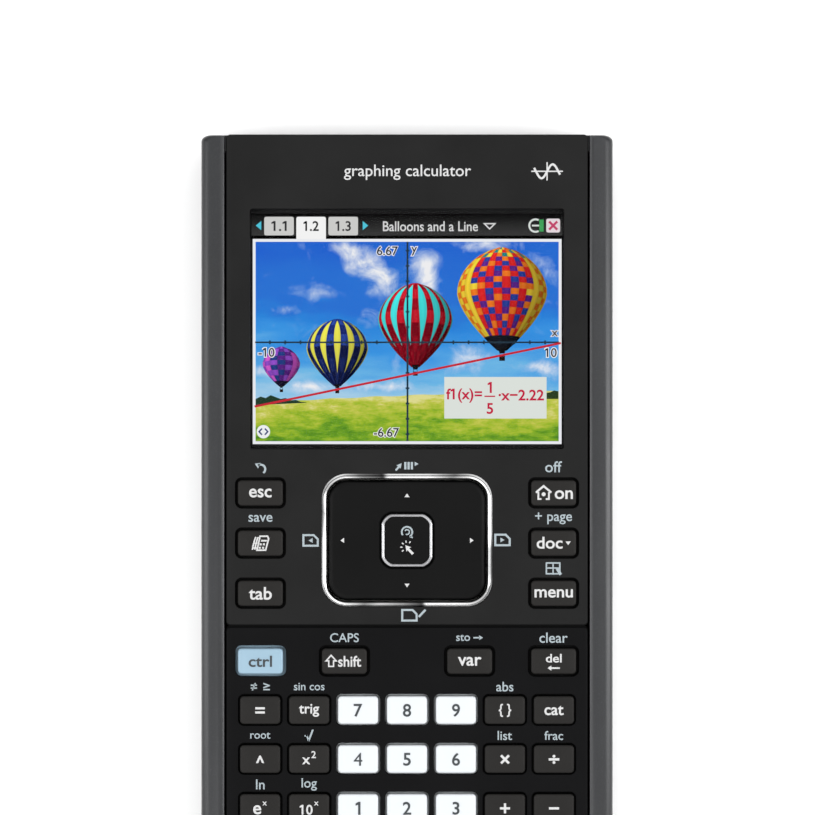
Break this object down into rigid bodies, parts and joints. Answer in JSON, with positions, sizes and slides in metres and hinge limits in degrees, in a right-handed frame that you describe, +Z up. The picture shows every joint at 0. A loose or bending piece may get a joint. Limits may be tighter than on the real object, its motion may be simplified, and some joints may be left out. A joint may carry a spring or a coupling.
{
  "type": "graphing calculator",
  "caption": "Handheld graphing calculator with a colour screen, a click touchpad in a bright ring and a full keypad, in a black front with grey side rails.",
  "frame": {"origin": "on the table under the middle of the case, which lies on its back", "axes": "+X to the right as the keys are read, +Y towards the display end, +Z up out of the keys"},
  "size_m": [0.086, 0.191, 0.0157],
  "materials": {
    "rail_grey": "satin metallic-effect grey paint on moulded plastic",
    "cover_black": "fine matt texture",
    "key_black": "satin moulded keys",
    "key_white": "satin moulded keys",
    "key_grey": "satin moulded keys",
    "key_blue": "satin moulded key",
    "pad_black": "smooth black",
    "chrome_trim": "bright plated trim",
    "lens": "clear hard-coated window",
    "display": "colour panel showing a graph",
    "board_green": "solder mask",
    "silicone": "soft translucent silicone",
    "battery_wrap": "wrapped cell pack",
    "steel": "plain steel"
  },
  "bodies": {
    "housing": {"rear_cover": "rail_grey", "front_cover": "cover_black", "display_window": "lens", "lcd_module": "display", "main_board": "board_green", "keypad_mat": "silicone", "touchpad_ring": "chrome_trim", "battery": "battery_wrap", "battery_door": "rail_grey", "usb_connector": "steel", "dock_connector": "cover_black", "case_screw_1": "steel", "case_screw_2": "steel", "case_screw_3": "steel", "case_screw_4": "steel"},
    "key_esc": {"key_esc": "key_black"},
    "key_scratchpad": {"key_scratchpad": "key_black"},
    "key_tab": {"key_tab": "key_black"},
    "key_home": {"key_home": "key_black"},
    "key_doc": {"key_doc": "key_black"},
    "key_menu": {"key_menu": "key_black"},
    "key_ctrl": {"key_ctrl": "key_blue"},
    "key_shift": {"key_shift": "key_black"},
    "key_var": {"key_var": "key_black"},
    "key_del": {"key_del": "key_black"},
    "key_equals": {"key_equals": "key_black"},
    "key_trig": {"key_trig": "key_black"},
    "key_7": {"key_7": "key_white"},
    "key_8": {"key_8": "key_white"},
    "key_9": {"key_9": "key_white"},
    "key_template": {"key_template": "key_black"},
    "key_catalog": {"key_catalog": "key_black"},
    "key_power": {"key_power": "key_black"},
    "key_square": {"key_square": "key_black"},
    "key_4": {"key_4": "key_white"},
    "key_5": {"key_5": "key_white"},
    "key_6": {"key_6": "key_white"},
    "key_multiply": {"key_multiply": "key_black"},
    "key_divide": {"key_divide": "key_black"},
    "key_exponential": {"key_exponential": "key_black"},
    "key_ten_power": {"key_ten_power": "key_black"},
    "key_1": {"key_1": "key_white"},
    "key_2": {"key_2": "key_white"},
    "key_3": {"key_3": "key_white"},
    "key_plus": {"key_plus": "key_black"},
    "key_minus": {"key_minus": "key_black"},
    "key_open_bracket": {"key_open_bracket": "key_black"},
    "key_close_bracket": {"key_close_bracket": "key_black"},
    "key_0": {"key_0": "key_white"},
    "key_point": {"key_point": "key_white"},
    "key_negative": {"key_negative": "key_white"},
    "key_enter": {"key_enter": "key_black"},
    "key_row_a_to_g": {"key_row_a_to_g": "key_grey"},
    "key_row_h_to_n": {"key_row_h_to_n": "key_grey"},
    "key_row_o_to_u": {"key_row_o_to_u": "key_grey"},
    "key_row_v_to_z": {"key_row_v_to_z": "key_grey"},
    "touchpad_carrier": {"touchpad_carrier": "board_green"},
    "touchpad_plate": {"touchpad_plate": "pad_black"},
    "touchpad_button": {"touchpad_button": "pad_black"},
    "reset_button": {"reset_button": "key_grey"}
  },
  "joints": [
    {"name": "pad_rock_up_down", "type": "hinge", "parent": "housing", "child": "touchpad_carrier", "pos_m": [0, 0.01085, 0.0129], "axis": [1, 0, 0], "range_deg": [-1.2, 1.2], "stiffness_Nm_per_rad": 0.4},
    {"name": "pad_rock_sideways", "type": "hinge", "parent": "touchpad_carrier", "child": "touchpad_plate", "pos_m": [0, 0.01085, 0.0129], "axis": [0, 1, 0], "range_deg": [-1.2, 1.2], "stiffness_Nm_per_rad": 0.4},
    {"name": "press_pad_button", "type": "slide", "parent": "touchpad_plate", "child": "touchpad_button", "axis": [0, 0, -1], "range_m": [0, 0.0006], "stiffness_N_per_m": 400, "springref_m": -0.001},
    {"name": "press_reset", "type": "slide", "parent": "housing", "child": "reset_button", "axis": [0, 0, 1], "range_m": [0, 0.0008], "stiffness_N_per_m": 400, "springref_m": -0.001},
    {"name": "press_esc", "type": "slide", "parent": "housing", "child": "key_esc", "axis": [0, 0, -1], "range_m": [0, 0.0009], "stiffness_N_per_m": 400, "springref_m": -0.001, "deforming": ["keypad_mat"]},
    {"name": "press_scratchpad", "type": "slide", "parent": "housing", "child": "key_scratchpad", "axis": [0, 0, -1], "range_m": [0, 0.0009], "stiffness_N_per_m": 400, "springref_m": -0.001, "deforming": ["keypad_mat"]},
    {"name": "press_tab", "type": "slide", "parent": "housing", "child": "key_tab", "axis": [0, 0, -1], "range_m": [0, 0.0009], "stiffness_N_per_m": 400, "springref_m": -0.001, "deforming": ["keypad_mat"]},
    {"name": "press_home", "type": "slide", "parent": "housing", "child": "key_home", "axis": [0, 0, -1], "range_m": [0, 0.0009], "stiffness_N_per_m": 400, "springref_m": -0.001, "deforming": ["keypad_mat"]},
    {"name": "press_doc", "type": "slide", "parent": "housing", "child": "key_doc", "axis": [0, 0, -1], "range_m": [0, 0.0009], "stiffness_N_per_m": 400, "springref_m": -0.001, "deforming": ["keypad_mat"]},
    {"name": "press_menu", "type": "slide", "parent": "housing", "child": "key_menu", "axis": [0, 0, -1], "range_m": [0, 0.0009], "stiffness_N_per_m": 400, "springref_m": -0.001, "deforming": ["keypad_mat"]},
    {"name": "press_ctrl", "type": "slide", "parent": "housing", "child": "key_ctrl", "axis": [0, 0, -1], "range_m": [0, 0.0009], "stiffness_N_per_m": 400, "springref_m": -0.001, "deforming": ["keypad_mat"]},
    {"name": "press_shift", "type": "slide", "parent": "housing", "child": "key_shift", "axis": [0, 0, -1], "range_m": [0, 0.0009], "stiffness_N_per_m": 400, "springref_m": -0.001, "deforming": ["keypad_mat"]},
    {"name": "press_var", "type": "slide", "parent": "housing", "child": "key_var", "axis": [0, 0, -1], "range_m": [0, 0.0009], "stiffness_N_per_m": 400, "springref_m": -0.001, "deforming": ["keypad_mat"]},
    {"name": "press_del", "type": "slide", "parent": "housing", "child": "key_del", "axis": [0, 0, -1], "range_m": [0, 0.0009], "stiffness_N_per_m": 400, "springref_m": -0.001, "deforming": ["keypad_mat"]},
    {"name": "press_equals", "type": "slide", "parent": "housing", "child": "key_equals", "axis": [0, 0, -1], "range_m": [0, 0.0009], "stiffness_N_per_m": 400, "springref_m": -0.001, "deforming": ["keypad_mat"]},
    {"name": "press_trig", "type": "slide", "parent": "housing", "child": "key_trig", "axis": [0, 0, -1], "range_m": [0, 0.0009], "stiffness_N_per_m": 400, "springref_m": -0.001, "deforming": ["keypad_mat"]},
    {"name": "press_7", "type": "slide", "parent": "housing", "child": "key_7", "axis": [0, 0, -1], "range_m": [0, 0.0009], "stiffness_N_per_m": 400, "springref_m": -0.001, "deforming": ["keypad_mat"]},
    {"name": "press_8", "type": "slide", "parent": "housing", "child": "key_8", "axis": [0, 0, -1], "range_m": [0, 0.0009], "stiffness_N_per_m": 400, "springref_m": -0.001, "deforming": ["keypad_mat"]},
    {"name": "press_9", "type": "slide", "parent": "housing", "child": "key_9", "axis": [0, 0, -1], "range_m": [0, 0.0009], "stiffness_N_per_m": 400, "springref_m": -0.001, "deforming": ["keypad_mat"]},
    {"name": "press_template", "type": "slide", "parent": "housing", "child": "key_template", "axis": [0, 0, -1], "range_m": [0, 0.0009], "stiffness_N_per_m": 400, "springref_m": -0.001, "deforming": ["keypad_mat"]},
    {"name": "press_catalog", "type": "slide", "parent": "housing", "child": "key_catalog", "axis": [0, 0, -1], "range_m": [0, 0.0009], "stiffness_N_per_m": 400, "springref_m": -0.001, "deforming": ["keypad_mat"]},
    {"name": "press_power", "type": "slide", "parent": "housing", "child": "key_power", "axis": [0, 0, -1], "range_m": [0, 0.0009], "stiffness_N_per_m": 400, "springref_m": -0.001, "deforming": ["keypad_mat"]},
    {"name": "press_square", "type": "slide", "parent": "housing", "child": "key_square", "axis": [0, 0, -1], "range_m": [0, 0.0009], "stiffness_N_per_m": 400, "springref_m": -0.001, "deforming": ["keypad_mat"]},
    {"name": "press_4", "type": "slide", "parent": "housing", "child": "key_4", "axis": [0, 0, -1], "range_m": [0, 0.0009], "stiffness_N_per_m": 400, "springref_m": -0.001, "deforming": ["keypad_mat"]},
    {"name": "press_5", "type": "slide", "parent": "housing", "child": "key_5", "axis": [0, 0, -1], "range_m": [0, 0.0009], "stiffness_N_per_m": 400, "springref_m": -0.001, "deforming": ["keypad_mat"]},
    {"name": "press_6", "type": "slide", "parent": "housing", "child": "key_6", "axis": [0, 0, -1], "range_m": [0, 0.0009], "stiffness_N_per_m": 400, "springref_m": -0.001, "deforming": ["keypad_mat"]},
    {"name": "press_multiply", "type": "slide", "parent": "housing", "child": "key_multiply", "axis": [0, 0, -1], "range_m": [0, 0.0009], "stiffness_N_per_m": 400, "springref_m": -0.001, "deforming": ["keypad_mat"]},
    {"name": "press_divide", "type": "slide", "parent": "housing", "child": "key_divide", "axis": [0, 0, -1], "range_m": [0, 0.0009], "stiffness_N_per_m": 400, "springref_m": -0.001, "deforming": ["keypad_mat"]},
    {"name": "press_exponential", "type": "slide", "parent": "housing", "child": "key_exponential", "axis": [0, 0, -1], "range_m": [0, 0.0009], "stiffness_N_per_m": 400, "springref_m": -0.001, "deforming": ["keypad_mat"]},
    {"name": "press_ten_power", "type": "slide", "parent": "housing", "child": "key_ten_power", "axis": [0, 0, -1], "range_m": [0, 0.0009], "stiffness_N_per_m": 400, "springref_m": -0.001, "deforming": ["keypad_mat"]},
    {"name": "press_1", "type": "slide", "parent": "housing", "child": "key_1", "axis": [0, 0, -1], "range_m": [0, 0.0009], "stiffness_N_per_m": 400, "springref_m": -0.001, "deforming": ["keypad_mat"]},
    {"name": "press_2", "type": "slide", "parent": "housing", "child": "key_2", "axis": [0, 0, -1], "range_m": [0, 0.0009], "stiffness_N_per_m": 400, "springref_m": -0.001, "deforming": ["keypad_mat"]},
    {"name": "press_3", "type": "slide", "parent": "housing", "child": "key_3", "axis": [0, 0, -1], "range_m": [0, 0.0009], "stiffness_N_per_m": 400, "springref_m": -0.001, "deforming": ["keypad_mat"]},
    {"name": "press_plus", "type": "slide", "parent": "housing", "child": "key_plus", "axis": [0, 0, -1], "range_m": [0, 0.0009], "stiffness_N_per_m": 400, "springref_m": -0.001, "deforming": ["keypad_mat"]},
    {"name": "press_minus", "type": "slide", "parent": "housing", "child": "key_minus", "axis": [0, 0, -1], "range_m": [0, 0.0009], "stiffness_N_per_m": 400, "springref_m": -0.001, "deforming": ["keypad_mat"]},
    {"name": "press_open_bracket", "type": "slide", "parent": "housing", "child": "key_open_bracket", "axis": [0, 0, -1], "range_m": [0, 0.0009], "stiffness_N_per_m": 400, "springref_m": -0.001, "deforming": ["keypad_mat"]},
    {"name": "press_close_bracket", "type": "slide", "parent": "housing", "child": "key_close_bracket", "axis": [0, 0, -1], "range_m": [0, 0.0009], "stiffness_N_per_m": 400, "springref_m": -0.001, "deforming": ["keypad_mat"]},
    {"name": "press_0", "type": "slide", "parent": "housing", "child": "key_0", "axis": [0, 0, -1], "range_m": [0, 0.0009], "stiffness_N_per_m": 400, "springref_m": -0.001, "deforming": ["keypad_mat"]},
    {"name": "press_point", "type": "slide", "parent": "housing", "child": "key_point", "axis": [0, 0, -1], "range_m": [0, 0.0009], "stiffness_N_per_m": 400, "springref_m": -0.001, "deforming": ["keypad_mat"]},
    {"name": "press_negative", "type": "slide", "parent": "housing", "child": "key_negative", "axis": [0, 0, -1], "range_m": [0, 0.0009], "stiffness_N_per_m": 400, "springref_m": -0.001, "deforming": ["keypad_mat"]},
    {"name": "press_enter", "type": "slide", "parent": "housing", "child": "key_enter", "axis": [0, 0, -1], "range_m": [0, 0.0009], "stiffness_N_per_m": 400, "springref_m": -0.001, "deforming": ["keypad_mat"]},
    {"name": "press_row_a_to_g", "type": "slide", "parent": "housing", "child": "key_row_a_to_g", "axis": [0, 0, -1], "range_m": [0, 0.0009], "stiffness_N_per_m": 800, "springref_m": -0.001, "deforming": ["keypad_mat"]},
    {"name": "press_row_h_to_n", "type": "slide", "parent": "housing", "child": "key_row_h_to_n", "axis": [0, 0, -1], "range_m": [0, 0.0009], "stiffness_N_per_m": 800, "springref_m": -0.001, "deforming": ["keypad_mat"]},
    {"name": "press_row_o_to_u", "type": "slide", "parent": "housing", "child": "key_row_o_to_u", "axis": [0, 0, -1], "range_m": [0, 0.0009], "stiffness_N_per_m": 800, "springref_m": -0.001, "deforming": ["keypad_mat"]},
    {"name": "press_row_v_to_z", "type": "slide", "parent": "housing", "child": "key_row_v_to_z", "axis": [0, 0, -1], "range_m": [0, 0.0009], "stiffness_N_per_m": 800, "springref_m": -0.001, "deforming": ["keypad_mat"]}
  ]
}
